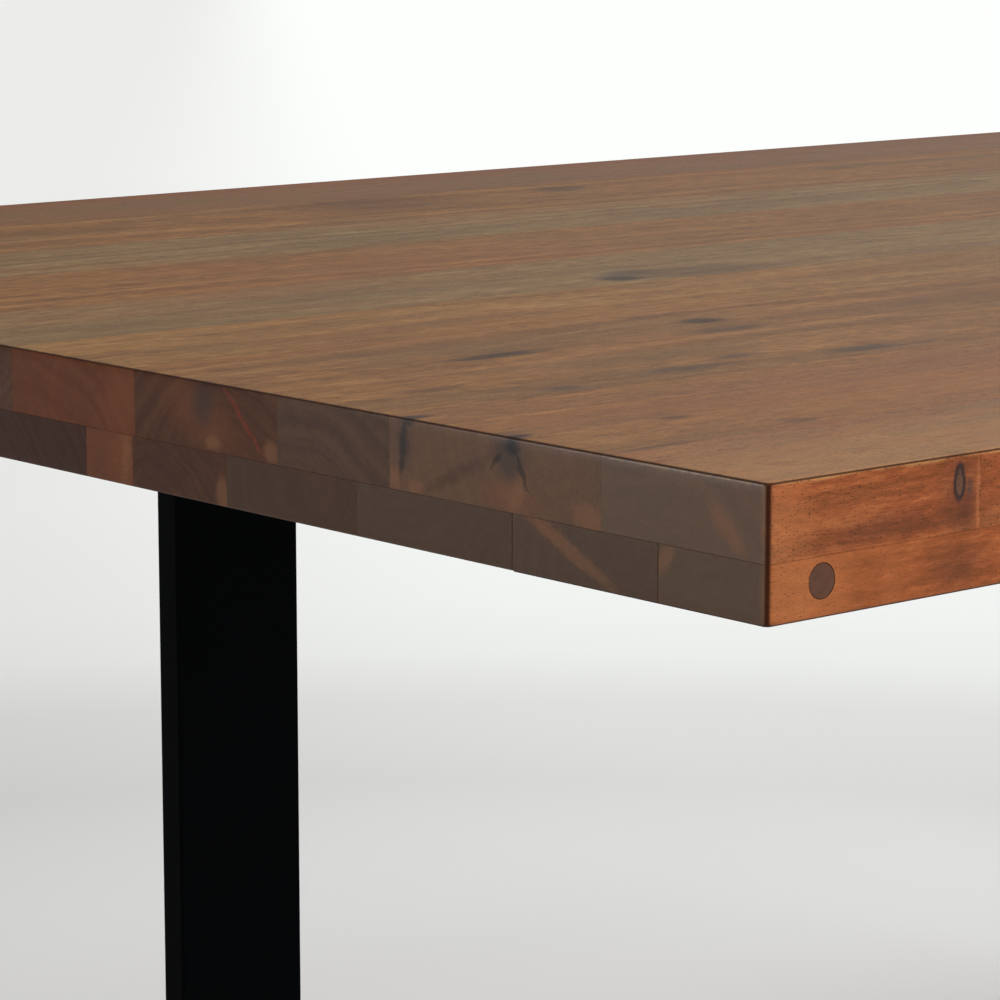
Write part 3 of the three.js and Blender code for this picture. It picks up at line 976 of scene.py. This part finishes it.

# The front rows' end stains are greyer and lighter than the rows behind: a painted sheen by the left front
# corner, over the end grain's own colour.
UPPER_PLANS = (
    StavePlan(Tone.RED, "665344", (40, 75), 6, (
        # Painted sheen along the front of the top.
        Mark(PAINTED_FRONT_SHEEN, (1016, 15, 0), (2600, 72, 1.2)),
        Mark(SAPWOOD, (0, 20, 19), (4, 12, 3.4), (42, 0)),
        Mark(MINERAL, (32, 84, 0), (26, 2.5, 2), (0, 4)),
        # Painted glint: a pale band on the front side by the left corner.
        Mark(PALE_AND_GLINT, (4, 0, 12), (14, 3, 20)),
        Mark(SHADOW, (97, 0, 16), (9, 6, 17)),
        Mark(SHADOW, (60, 0, 22), (30, 4, 5), (0, 0)),
        Mark(SHADOW, (101, 0, 23), (4, 6, 6)),
        Mark(RING, (96.5, 0, 11), (3.2, 6, 7.2)),
        Mark(HEART, (96.5, 0, 11), (1.8, 4, 4.9)),
        Mark(MINERAL, (102, 0, 13.4), (1.6, 5, 3.4)),
        Mark(PALE_AND_GLINT, (106.4, 0, 17), (0.9, 3, 14)),
    )),
    StavePlan(Tone.WARM, "654838", (52, -6), 7, (
        Mark(FLAME, (0, 137, 23), (12, 15, 6)),
        Mark(SAPWOOD, (0, 131, 20), (10, 4, 8), (25, 0)),
        Mark(SAPWOOD, (0, 92, 25), (8, 8, 5), (15, 0)),
        Mark(SAPWOOD, (0, 202, 24), (8, 4, 4)),
        Mark(SAPWOOD, (0, 190, 26), (8, 5, 2.5)),
        Mark(MINERAL, (0, 136, 7), (10, 8, 9), (-20, 0)),
        Mark(KNOT, (0, 134, 3), (10, 4, 4)),
        Mark(CRACK, (0, 129, 12), (8, 1.1, 8), (-28, 0)),
        Mark(CRACK, (0, 143, 10), (8, 0.8, 5), (40, 0)),
        Mark(SHADOW, (0, 166, 18), (8, 20, 2.5), (-25, 0)),
        Mark(CRACK, (0, 198, 12), (10, 1.5, 12), (6, 0)),
        Mark(MINERAL, (0, 197, 9), (10, 4, 9)),
        Mark(KNOT, (78, 130, 0), (8, 3, 2)),
        Mark(MINERAL, (110, 94, 0), (9, 4, 2)),
        Mark(KNOT, (3, 194, 0), (9, 3, 3)),
        Mark(KNOT, (1, 134, 0), (8, 3, 3)),
        Mark(FLAME, (170, 150, 0), (150, 40, 2)),
        Mark(PALE_AND_GLINT, (430, 110, 0), (280, 90, 2)),
    )),
    StavePlan(Tone.WARM, "473228", (30, 90), 6, (
        Mark(MINERAL, (98, 216, 0), (9, 5, 2)),
        Mark(MINERAL, (176, 226, 0), (24, 6, 2)),
        Mark(MINERAL, (218, 240, 0), (14, 5, 2), (0, 6)),
        Mark(MINERAL, (278, 222, 0), (17, 6, 3)),
        Mark(SHADOW, (54, 246, 0), (16, 5, 3)),
    )),
    StavePlan(Tone.WARM, "451d0f", (50, 70), 6, (
        Mark(FLAME, (0, 330, 14), (10, 22, 10), (20, 0)),
        Mark(RED_VEIN, (0, 299, 14), (10, 0.9, 19), (-45, 0)),
        Mark(MINERAL, (0, 327, 10), (10, 7, 9), (25, 0)),
        Mark(SAPWOOD, (0, 320, 25), (8, 5, 3)),
        Mark(SAPWOOD, (0, 281, 24), (6, 5, 4)),
        Mark(KNOT, (290, 336, 0), (12, 8, 3)),
        Mark(KNOT, (140, 307, 0), (25, 5, 2.5), (0, 2)),
        Mark(MINERAL, (276, 306, 0), (24, 7, 2.5)),
    )),
    StavePlan(Tone.TAN, "64280e", (48, 52), 8, (
        Mark(FLAME, (0, 385, 14), (9, 12, 12)),
    )),
    StavePlan(Tone.OLIVE, "4d2417", (45, -30), 6, (
        Mark(KNOT, (376, 486, 0), (12, 10, 3)),
        Mark(MINERAL, (396, 500, 0), (16, 12, 3)),
        Mark(SHADOW, (432, 480, 0), (36, 26, 4)),
    )),
    StavePlan(Tone.WARM, "98471b", (70, 70), 7),
    StavePlan(Tone.OLIVE, "66331a", (10, 60), 6),
    StavePlan(Tone.WARM, "3e190b", (60, 80), 7, (
        Mark(SHADOW, (528, 876, 0), (60, 40, 5)),
        Mark(MINERAL, (684, 876, 0), (20, 14, 4)),
    )),
    StavePlan(Tone.RED, "66331a", (60, -40), 6, (
        # Painted sheen along the back of the top.
        Mark(PAINTED_BACK_SHEEN, (1016, 950, 0), (2600, 64, 1.2)),
    )),
)

# In the lower layer too, the front rows' end stains hold a painted sheen by the left front corner.
LOWER_PLANS = (
    StavePlan(Tone.RED, "574a3b", (25, -40), 5, (
        Mark(SAPWOOD, (0, 51, 33), (4, 3, 6), (35, 0)),
        # Painted glint: a pale band on the front side by the left corner.
        Mark(PALE_AND_GLINT, (10, 0, 40), (24, 3, 14)),
        Mark(FLAME, (62, 0, 42), (5, 5, 10)),
        Mark(FLAME, (36, 0, 46), (4, 4, 6)),
        Mark(SHADOW, (95, 0, 40), (14, 5, 7)),
    )),
    StavePlan(Tone.DARK, "564235", (15, 28), 5, (
        Mark(FLAME, (0, 116, 31), (8, 12, 3.5), (24, 0)),
        Mark(SAPWOOD, (0, 103, 37.5), (8, 27, 2.8), (24, 0)),
    )),
    StavePlan(Tone.DARK, "523e31", (50, -60), 7),
    StavePlan(Tone.DARK, "493123", (48, -6), 6),
    StavePlan(Tone.WARM, "3c1507", (30, 30), 5, (
        Mark(SAPWOOD, (0, 314, 45), (8, 4, 7)),
    )),
    StavePlan(Tone.WARM, "6c351a", (20, 40), 5, (
        Mark(SAPWOOD, (0, 382, 38), (8, 3, 12), (6, 0)),
        Mark(FLAME, (0, 385, 40), (8, 8, 12)),
    )),
    StavePlan(Tone.DARK, "361104", (110, 60), 4),
    StavePlan(Tone.WARM, "3e190b", (50, 60), 6),
    StavePlan(Tone.WARM, "4a2718", (30, -30), 5),
    StavePlan(Tone.TAN, "3e190b", (80, 50), 7),
    StavePlan(Tone.DARK, "4a2718", (20, 60), 5),
    StavePlan(Tone.RED, "3e190b", (60, -20), 6),
)


@dataclass
class ButcherBlockTop:
    """The slab: two layers of staves cut from one eased block, with four corner dowels.

    Attributes:
        edge_round: Radius of the eased top and bottom edges.
        corner_round: Radius of the upright corners.
        cad_glue_line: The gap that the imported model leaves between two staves.
        glue_line: The gap that is left here, which is too fine to see.
        open_gap: How wide a seam is that has opened a little.
        open_rows: Rows of the lower layer whose front seam has opened.
        layer_gap: The gap between the layers.
        recess: How far the underside was planed short.
        recess_from: The first row of the lower layer that was planed short.
        bore_gap: The gap round a dowel.
        bore_reach: How far a dowel's bore is cut past each end of the dowel.
        dowel_round: Radius of the dowels' eased ends.
        on_side: A stave's side that is nearer to the slab's own side than this lies on it.
    """

    edge_round: float = mm(1.5)
    corner_round: float = mm(3)
    cad_glue_line: float = mm(0.3)
    glue_line: float = mm(0.05)
    open_gap: float = mm(0.4)
    open_rows: tuple[int, ...] = (2, 3)
    layer_gap: float = mm(0.14)
    recess: float = mm(0.6)
    recess_from: int = 3
    bore_gap: float = mm(0.25)
    bore_reach: float = mm(1)
    dowel_round: float = mm(0.2)
    on_side: float = mm(0.01)

    def build(self, nodes: dict[str, bpy.types.Object]) -> None:
        """Makes and dresses every stave and dowel.

        Args:
            nodes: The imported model's nodes, by name.
        """
        self.low, self.high = extent(n for n in nodes if "_stave_" in n)
        self.corner = Vector((self.low.x, self.low.y, self.high.z))
        self.opposite = Vector((self.high.x, self.high.y, self.low.z))
        self.blank = self.slab()
        self.dowels = sorted(n for n in nodes if n.endswith("_dowel"))
        for layer, plans in (("upper", UPPER_PLANS), ("lower", LOWER_PLANS)):
            for row, plan in enumerate(plans, 1):
                row_name = f"{layer}_stave_{row:02d}"
                for node in sorted(n for n in nodes if n.startswith(row_name)):
                    self.stave(node, layer, row, plan)
        bpy.data.objects.remove(self.blank.obj)
        for node in self.dowels:
            self.dowel(node)

    def slab(self) -> Workpiece:
        """Returns the whole slab with its edges eased, which each stave is then sawn from."""
        blank = Workpiece.block("slab", self.low, self.high)
        blank.bevel(lambda e: runs_along(e, Z), self.corner_round, 6)
        return blank.bevel(
            lambda e: lies_at(e, self.low.z) or lies_at(e, self.high.z), self.edge_round, 5
        )

    def stave(self, node: str, layer: str, row: int, plan: StavePlan) -> None:
        """Saws one stave out of the slab, bores it for its dowels and dresses it.

        Args:
            node: The stave's node.
            layer: "upper" or "lower".
            row: Its row, from 1 at the front side.
            plan: How its row was chosen.
        """
        low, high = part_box(node)
        piece = self.blank.copied(node + "_wood")
        for axis in (X, Y, Z):
            for corner, side in ((low, -1), (high, 1)):
                limit = (self.low if side < 0 else self.high)[axis]
                if abs(corner[axis] - limit) < self.on_side:
                    continue
                gap = self.layer_gap if axis == Z else self.glue_line
                if axis == Y and layer == "lower" and row + (side > 0) in self.open_rows:
                    gap = self.open_gap
                point = corner.copy()
                point[axis] += side * (self.cad_glue_line - gap) / 2
                normal = Vector((0, 0, 0))
                normal[axis] = side
                piece.cut(point, normal)
        if layer == "lower" and row >= self.recess_from:
            piece.cut(Vector((0, 0, self.low.z + self.recess)), Vector((0, 0, -1)))
        for dowel in self.dowels:
            dowel_low, dowel_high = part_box(dowel)
            if all(dowel_low[axis] < high[axis] and low[axis] < dowel_high[axis] for axis in (X, Y, Z)):
                piece.subtract(self.peg("bore", dowel, self.bore_gap, self.bore_reach))
        # Each layer, row and half of a jointed row has a stretch of the pattern to itself.
        seed = row + (20 if layer == "lower" else 0) + (7 if node.endswith("right") else 0)
        wood = StainedAcacia(
            name=node,
            tone=plan.tone,
            end_stain_and_sheen=plan.end_stain_and_sheen,
            pith=plan.pith,
            rings=plan.rings,
            seed=seed,
            corner=self.corner,
            opposite=self.opposite,
            origin=(low.y, high.z),
            marks=plan.marks,
        )
        dress(piece.finished(), wood.material(), TABLE_BODY, node)

    def peg(self, name: str, node: str, wider: float, longer: float) -> Workpiece:
        """Makes a round bar in a dowel's place.

        Args:
            name: The bar's name.
            node: The dowel's node.
            wider: What is added to its radius.
            longer: What is added at each end.

        Returns:
            The bar.
        """
        low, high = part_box(node)
        centre = (low + high) / 2
        base = Vector((centre.x, low.y - longer, centre.z))
        radius = (high.z - low.z) / 2 + wider
        return Workpiece.rod(name, base, radius, high.y - low.y + 2 * longer, Y, 48)

    def dowel(self, node: str) -> None:
        """Makes one corner dowel with eased ends, and dresses it.

        Args:
            node: The dowel's node.
        """
        low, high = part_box(node)
        piece = self.peg(node + "_wood", node, 0, 0)
        piece.bevel(lambda e: not runs_along(e, Y), self.dowel_round, 2)
        wood = StainedAcacia(
            name=node,
            tone=Tone.DARK,
            end_stain_and_sheen="4a2e22",
            pith=(4, 3),
            rings=3,
            seed=41,
            corner=self.corner,
            opposite=self.opposite,
            origin=(low.x, high.z),
            crosswise=True,
        )
        dress(piece.finished(), wood.material(), TABLE_BODY, node)


# ---- The frames ----


@dataclass
class SteelFrame:
    """One welded frame: four rectangular tubes, mitred at the corners.

    Attributes:
        side: "left" or "right".
        glides: Names of the glide nodes.
        edge_round: Radius of the tubes' long edges.
        mitre_gap: How far each mitred end stands back from the corner's diagonal.
        mitre_groove: How wide the fine groove is that grinding leaves along a mitre.
        wall: Thickness of the tubes' walls.
        glide_bore: Radius of the holes that the glides' studs pass through.
        overcut: How far a bore is cut past each face of the wall.
        core_reach: How far the hollow is cut past both ends of a tube, so that it goes right through.
        mitre_reach: How near to a corner its mitre lies.
        on_diagonal: A point that is nearer to a corner's diagonal than this lies on it.
    """

    side: str
    glides: tuple[str, ...]
    edge_round: float = mm(2)
    mitre_gap: float = mm(0.02)
    mitre_groove: float = mm(0.25)
    wall: float = mm(2)
    glide_bore: float = mm(4.45)
    overcut: float = mm(1)
    core_reach: float = mm(5)
    mitre_reach: float = mm(40)
    on_diagonal: float = mm(0.1)

    def build(self, coat: Material) -> None:
        """Makes and dresses the four tubes.

        Args:
            coat: Their finish.
        """
        names = [f"{self.side}_{part}" for part in ("top_rail", "front_leg", "foot_rail", "back_leg")]
        low, high = extent(names)
        for name in names:
            self.tube(name, low, high, coat)

    def tube(self, name: str, frame_low: Vector, frame_high: Vector, coat: Material) -> None:
        """Makes one tube at its full length, rounds its long edges, mitres its ends and hollows it.

        Args:
            name: The tube's node.
            frame_low: The frame's lowest corner.
            frame_high: The frame's highest corner.
            coat: The tube's finish.
        """
        along, across = (Z, Y) if name.endswith("leg") else (Y, Z)
        low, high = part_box(name)
        low[along], high[along] = frame_low[along], frame_high[along]
        piece = Workpiece.block(name + "_tube", low, high)
        piece.bevel(lambda e: runs_along(e, along), self.edge_round, 5)
        outer = high if high[across] > (frame_low[across] + frame_high[across]) / 2 else low
        outward = 1 if outer is high else -1
        for end in (-1, 1):
            corner = outer.copy()
            corner[along] = (frame_low if end < 0 else frame_high)[along]
            normal = Vector((0, 0, 0))
            normal[along], normal[across] = end, -outward
            piece.cut(corner - normal.normalized() * self.mitre_gap, normal)
        piece.bevel(self.on_mitre(frame_low, frame_high, along, across), self.mitre_groove / 2, 1)
        wall = Vector((self.wall, self.wall, self.wall))
        wall[along] = -self.core_reach
        piece.subtract(Workpiece.block("core", low + wall, high - wall))
        for glide in (g for g in self.glides if g.startswith(self.side) and name.endswith("foot_rail")):
            glide_low, glide_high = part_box(glide)
            centre = (glide_low + glide_high) / 2
            base = Vector((centre.x, centre.y, low.z - self.overcut))
            depth = self.wall + 2 * self.overcut
            piece.subtract(Workpiece.rod("bore", base, self.glide_bore, depth, Z, 32))
        dress(piece.finished(), coat, TABLE_BODY, name)

    def on_mitre(self, low: Vector, high: Vector, along: int, across: int) -> Callable[[Edge], bool]:
        """Makes a test for the edges that lie in one of a tube's mitres.

        Args:
            low: The frame's lowest corner.
            high: The frame's highest corner.
            along: The axis that the tube runs along.
            across: The frame's other axis.

        Returns:
            The test.
        """

        def picked(edge: Edge) -> bool:
            """Returns whether both of an edge's ends are near a corner and on its diagonal."""
            for end in (low, high):
                for side in (low, high):
                    reach = [(v.co[along] - end[along], v.co[across] - side[across]) for v in edge.verts]
                    near = all(abs(a) < self.mitre_reach for a, _ in reach)
                    if near and all(abs(abs(a) - abs(b)) < self.on_diagonal for a, b in reach):
                        return True
            return False

        return picked


@dataclass
class Fasteners:
    """The bolts under the top rails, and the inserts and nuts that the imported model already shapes.

    Attributes:
        head_radius: Radius of a bolt's head.
        head_height: Height of the head, without its flange.
        head_round: Radius of the head's lower edge.
        flange_height: Thickness of the flange.
        shank_radius: Radius of the shank.
        socket_flats: Distance between opposite flats of the hex socket.
        socket_depth: Depth of the socket.
    """

    head_radius: float = mm(6.5)
    head_height: float = mm(4.5)
    head_round: float = mm(0.6)
    flange_height: float = mm(1.5)
    shank_radius: float = mm(3.9)
    socket_flats: float = mm(5)
    socket_depth: float = mm(3)

    def build(self, nodes: dict[str, bpy.types.Object], zinc: Material) -> None:
        """Makes the bolts, and dresses every fastener.

        Args:
            nodes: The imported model's nodes, by name.
            zinc: The fasteners' finish.
        """
        bolts = sorted(n for n in nodes if n.endswith("_bolt"))
        first = self.bolt(bolts[0])
        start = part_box(bolts[0])[0]
        for node in bolts[1:]:
            copy = first.copied(node + "_steel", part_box(node)[0] - start)
            dress(copy.obj, zinc, TABLE_BODY, node)
        dress(first.obj, zinc, TABLE_BODY, bolts[0])
        for name, node in nodes.items():
            if name.endswith(("_insert", "_glide_nut")):
                node.data.materials.clear()
                node.data.materials.append(zinc)
                LOG.info("%s: dressed", name)

    def bolt(self, node: str) -> Workpiece:
        """Makes a flanged socket screw, head down.

        Args:
            node: The bolt's node, whose place it takes.

        Returns:
            The bolt.
        """
        low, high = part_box(node)
        centre = (low + high) / 2
        base = Vector((centre.x, centre.y, low.z))
        steps = (
            (self.head_radius, self.head_height),
            ((high.x - low.x) / 2, self.flange_height),
            (self.shank_radius, high.z - low.z - self.head_height - self.flange_height),
        )
        piece = Workpiece.turned(node + "_steel", base, steps, 48)
        piece.bevel(lambda e: lies_at(e, low.z), self.head_round, 3)
        clear_bench()
        bpy.ops.mesh.primitive_cylinder_add(
            vertices=6, radius=self.socket_flats / math.sqrt(3), depth=2 * self.socket_depth, location=base
        )
        piece.subtract(Workpiece.taken_up("socket"))
        piece.finished()
        return piece


@dataclass
class Glides:
    """The four levelling glides: a rounded nylon pad and collar on a steel stud.

    Attributes:
        pad_height: Thickness of the pad at its rim.
        pad_round: Radius of the pad's upper and lower edges.
        collar_radius: Radius of the collar.
        collar_height: Height of the collar.
        collar_round: Radius of the collar's upper edge.
        stud_radius: Radius of the stud.
        near: Two radii that differ by less than this are the same.
    """

    pad_height: float = mm(6)
    pad_round: float = mm(1.4)
    collar_radius: float = mm(10)
    collar_height: float = mm(3)
    collar_round: float = mm(0.6)
    stud_radius: float = mm(3.9)
    near: float = mm(0.1)

    def build(self, nodes: dict[str, bpy.types.Object]) -> None:
        """Makes one glide, copies it and dresses all four.

        Args:
            nodes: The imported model's nodes, by name.
        """
        glides = sorted(n for n in nodes if n.endswith("_glide"))
        nylon = MouldedNylon(self.pad_height + self.collar_height - self.near).material()
        first = self.glide(glides[0])
        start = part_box(glides[0])[0]
        pieces = {glides[0]: first}
        for node in glides[1:]:
            pieces[node] = first.copied(node + "_foot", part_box(node)[0] - start)
        for node, piece in pieces.items():
            dress(piece.obj, nylon, node + "_foot", node)

    def glide(self, node: str) -> Workpiece:
        """Turns a glide.

        Args:
            node: The glide's node, whose place it takes.

        Returns:
            The glide.
        """
        low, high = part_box(node)
        radius = (high.x - low.x) / 2
        centre = (low + high) / 2
        base = Vector((centre.x, centre.y, low.z))
        steps = (
            (radius, self.pad_height),
            (self.collar_radius, self.collar_height),
            (self.stud_radius, high.z - low.z - self.pad_height - self.collar_height),
        )
        piece = Workpiece.turned(node + "_foot", base, steps, 64)
        collar_top = low.z + self.pad_height + self.collar_height

        def on_circle(edge: Edge, size: float) -> bool:
            """Returns whether an edge lies level on a circle of a given radius about the axis."""
            reach = [(v.co - base).xy.length for v in edge.verts]
            return lies_at(edge, edge.verts[0].co.z) and all(abs(r - size) < self.near for r in reach)

        piece.bevel(lambda e: on_circle(e, radius), self.pad_round, 4)
        piece.bevel(
            lambda e: lies_at(e, collar_top) and on_circle(e, self.collar_radius), self.collar_round, 3
        )
        piece.finished()
        return piece


# ---- The studio ----


@dataclass(frozen=True)
class Softbox:
    """A small rectangular light out of the picture, for a sheen along an edge.

    Attributes:
        name: Its name.
        towards: The direction from the slab's corner to the light.
        distance: How far away it is, in metres.
        size: Its width and height, in metres.
        power: Its power, in watts.
        sheen_only: Whether it is only mirrored, and lights nothing up.
    """

    name: str
    towards: Triple
    distance: float
    size: tuple[float, float]
    power: float
    sheen_only: bool


@dataclass
class Studio:
    """A pale floor, soft light and the camera.

    Attributes:
        camera_offset: The camera's place from the slab's top left front corner, in millimetres.
        yaw: The camera's heading from +Y towards +X, in degrees.
        pitch: How far it looks down, in degrees.
        lens: Focal length in millimetres.
        sensor: Width of the sensor in millimetres.
        sight: How far it sees, in metres.
        key: The direction from the table to the key light.
        key_strength: The key light's irradiance, in watts per square metre.
        key_width: How wide the key light looks from the table, in degrees.
        softboxes: The lights that give the sheen.
        floor_radius: The floor's radius, in metres.
        floor_drop: How far the floor is under the glides, in metres.
        paper_centre: Where the floor's painted light and shade are centred.
        paper_reach: The distance from there at which their scale ends, in metres.
        paper_with_light_and_shade: The floor's colour by its place on that scale, as sRGB hex: nearly
            white round the table as painted light against its cast shadow, a painted grey shade
            further out, then white.
        painted_shadow_towards: The direction in which a painted soft shadow darkens the floor.
        painted_shadow_from: How far that way the painted shadow starts, and where it is full, in metres.
        room_levels: The room's brightness by height, from eye level at 0 to overhead at 1.
        backdrop: The room's brightness as the camera sees it.
    """

    camera_offset: Triple = (-889.6, -893.5, 215.1)
    yaw: float = 40.696
    pitch: float = 9.96
    lens: float = 134.31
    sensor: float = 36
    sight: float = 500
    key: Triple = (0.50, -0.75, 0.40)
    key_strength: float = 2.5
    key_width: float = 45
    softboxes: tuple[Softbox, ...] = (
        Softbox("front strip", (0.27, -0.96, 0.04), 0.8, (0.16, 0.24), 1.2, False),
        Softbox("back strip", (-0.66, 0.74, 0.22), 0.6, (0.09, 0.22), 2.0, True),
        Softbox("left strip", (-0.94, 0.29, 0.0), 1.0, (0.10, 0.30), 3.0, True),
    )
    floor_radius: float = 90
    floor_drop: float = mm(0.5)
    paper_centre: Triple = (-0.41, 0.34, 0)
    paper_reach: float = 10.0
    paper_with_light_and_shade: tuple[tuple[float, str], ...] = (
        (0.08, "fcfcfb"),
        (0.12, "ecedeb"),
        (0.155, "dcdddb"),
        (0.192, "e0e1df"),
        (0.219, "eceeec"),
        (0.25, "f1f3f1"),
        (0.33, "f6f8f6"),
        (0.9, "fdfffd"),
    )
    painted_shadow_towards: Triple = (-0.801, 0.599, 0)
    painted_shadow_from: tuple[float, float] = (0.2, 1.2)
    room_levels: tuple[tuple[float, float], ...] = (
        (0.0, 0.42), (0.08, 0.33), (0.17, 0.21), (0.35, 0.26), (0.75, 0.90)
    )
    backdrop: float = 0.95

    def build(self, corner: Vector) -> None:
        """Sets up the camera, the floor and the light.

        Args:
            corner: The slab's top left front corner.
        """
        bpy.context.scene.view_settings.view_transform = "Standard"
        self.camera(corner)
        self.floor()
        self.world()
        self.sun()
        for box in self.softboxes:
            self.softbox(box, corner)

    def camera(self, corner: Vector) -> None:
        """Adds the camera and makes it the scene's own.

        Args:
            corner: The slab's top left front corner.
        """
        data = bpy.data.cameras.new("camera")
        data.lens = self.lens
        data.sensor_width = self.sensor
        data.clip_end = self.sight
        camera = bpy.data.objects.new("camera", data)
        bpy.context.scene.collection.objects.link(camera)
        yaw, pitch = math.radians(self.yaw), math.radians(self.pitch)
        ahead = Vector((math.sin(yaw) * math.cos(pitch), math.cos(yaw) * math.cos(pitch), -math.sin(pitch)))
        camera.location = corner + Vector([mm(v) for v in self.camera_offset])
        camera.rotation_euler = ahead.to_track_quat("-Z", "Y").to_euler()
        bpy.context.scene.camera = camera

    def lamp(self, name: str, kind: str, towards: Vector) -> bpy.types.Object:
        """Adds a light.

        Args:
            name: Its name.
            kind: "SUN" or "AREA".
            towards: The direction from what it lights to the light.

        Returns:
            The light's object.
        """
        light = bpy.data.objects.new(name, bpy.data.lights.new(name, kind))
        bpy.context.scene.collection.objects.link(light)
        light.rotation_euler = towards.to_track_quat("Z", "Y").to_euler()
        return light

    def sun(self) -> None:
        """Adds the key light, which the varnish does not mirror: the softboxes give the sheen."""
        light = self.lamp("key", "SUN", Vector(self.key))
        light.data.energy = self.key_strength
        light.data.angle = math.radians(self.key_width)
        light.visible_glossy = False

    def softbox(self, box: Softbox, lit: Vector) -> None:
        """Adds one softbox.

        Args:
            box: What it is like.
            lit: The point that it faces.
        """
        light = self.lamp(box.name, "AREA", Vector(box.towards))
        light.location = lit + Vector(box.towards).normalized() * box.distance
        light.data.shape = "RECTANGLE"
        light.data.size, light.data.size_y = box.size
        light.data.energy = box.power
        light.visible_camera = False
        light.visible_diffuse = not box.sheen_only

    def floor(self) -> None:
        """Adds the floor: paper with painted light and shade.

        It is nearly white round the table against the table's cast shadow, a painted grey shade further
        out, and white far off. A painted soft shadow darkens it to the back left.
        """
        clear_bench()
        bpy.ops.mesh.primitive_circle_add(
            vertices=96, radius=self.floor_radius, fill_type="NGON", location=(0, 0, -self.floor_drop)
        )
        floor = Workpiece.taken_up("floor").obj
        material, tree = new_material("studio_paper")
        place = add_node(tree, "TexCoord").outputs["Object"]
        # Painted light and shade by the distance from the table: nearly white round it against its cast
        # shadow, grey further out, then white.
        away = add_node(
            tree, "VectorMath", {0: place, 1: self.paper_centre}, operation="DISTANCE"
        ).outputs["Value"]
        share = add_node(tree, "Math", {0: away, 1: self.paper_reach}, operation="DIVIDE").outputs[0]
        stops = [(position, colour(code)) for position, code in self.paper_with_light_and_shade]
        ramp = add_node(tree, "ValToRGB", {0: share}, stops)
        # Painted soft shadow: the floor grows darker towards the back left.
        across = add_node(tree, "VectorMath", {0: place, 1: self.painted_shadow_towards}, operation="DOT_PRODUCT")
        start, full = self.painted_shadow_from
        painted_shadow = add_node(
            tree,
            "MapRange",
            {"Value": across.outputs["Value"], "From Min": start, "From Max": full},
            interpolation_type="SMOOTHSTEP",
        ).outputs[0]
        tint = add_node(
            tree, "Mix", {0: painted_shadow, 6: colour("ffffff"), 7: colour("eeeded")}, data_type="RGBA"
        )
        paper = add_node(
            tree,
            "Mix",
            {0: 1.0, 6: ramp.outputs[0], 7: tint.outputs[2]},
            data_type="RGBA",
            blend_type="MULTIPLY",
        )
        surface = add_node(tree, "BsdfDiffuse", {"Color": paper.outputs[2]})
        add_node(tree, "OutputMaterial", {"Surface": surface.outputs[0]})
        floor.data.materials.append(material)

    def world(self) -> None:
        """Fills the room with light: bright overhead, darker at eye level, pale to look at."""
        world = bpy.data.worlds.new("room")
        bpy.context.scene.world = world
        world.use_nodes = True
        tree = world.node_tree
        tree.nodes.clear()
        towards = add_node(tree, "TexCoord").outputs["Generated"]
        axes = add_node(tree, "SeparateXYZ", {0: towards}).outputs
        levels = [(height, (level, level, level, 1)) for height, level in self.room_levels]
        up = add_node(tree, "ValToRGB", {0: axes[Z]}, levels)
        # Low down, the room is dimmer ahead and brighter to the right; higher up it is even.
        side = add_node(
            tree,
            "MapRange",
            {"Value": axes[X], "From Min": 0.52, "From Max": 0.78, "To Min": 0.4, "To Max": 1.3},
        ).outputs[0]
        low = add_node(tree, "MapRange", {"Value": axes[Z], "From Min": 0.55, "From Max": 0.25}).outputs[0]
        uneven = add_node(tree, "Mix", {0: low, 2: 1.0, 3: side}, data_type="FLOAT").outputs[0]
        light = add_node(tree, "Math", {0: up.outputs[0], 1: uneven}, operation="MULTIPLY").outputs[0]
        seen = add_node(tree, "LightPath").outputs["Is Camera Ray"]
        strength = add_node(tree, "Mix", {0: seen, 2: light, 3: self.backdrop}, data_type="FLOAT")
        background = add_node(
            tree, "Background", {"Color": colour("ffffff"), "Strength": strength.outputs[0]}
        )
        add_node(tree, "OutputWorld", {"Surface": background.outputs[0]})


def main() -> None:
    """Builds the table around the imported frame, then its studio."""
    logging.basicConfig(level=logging.INFO, format="%(name)s: %(message)s")
    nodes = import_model()["nodes"]
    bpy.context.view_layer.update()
    top = ButcherBlockTop()
    top.build(nodes)
    coat = PowderCoat().material()
    for side in ("left", "right"):
        SteelFrame(side, tuple(n for n in nodes if n.endswith("_glide"))).build(coat)
    Fasteners().build(nodes, ZincPlate().material())
    Glides().build(nodes)
    Studio().build(Vector((top.low.x, top.low.y, top.high.z)))


if __name__ == "__main__":
    main()
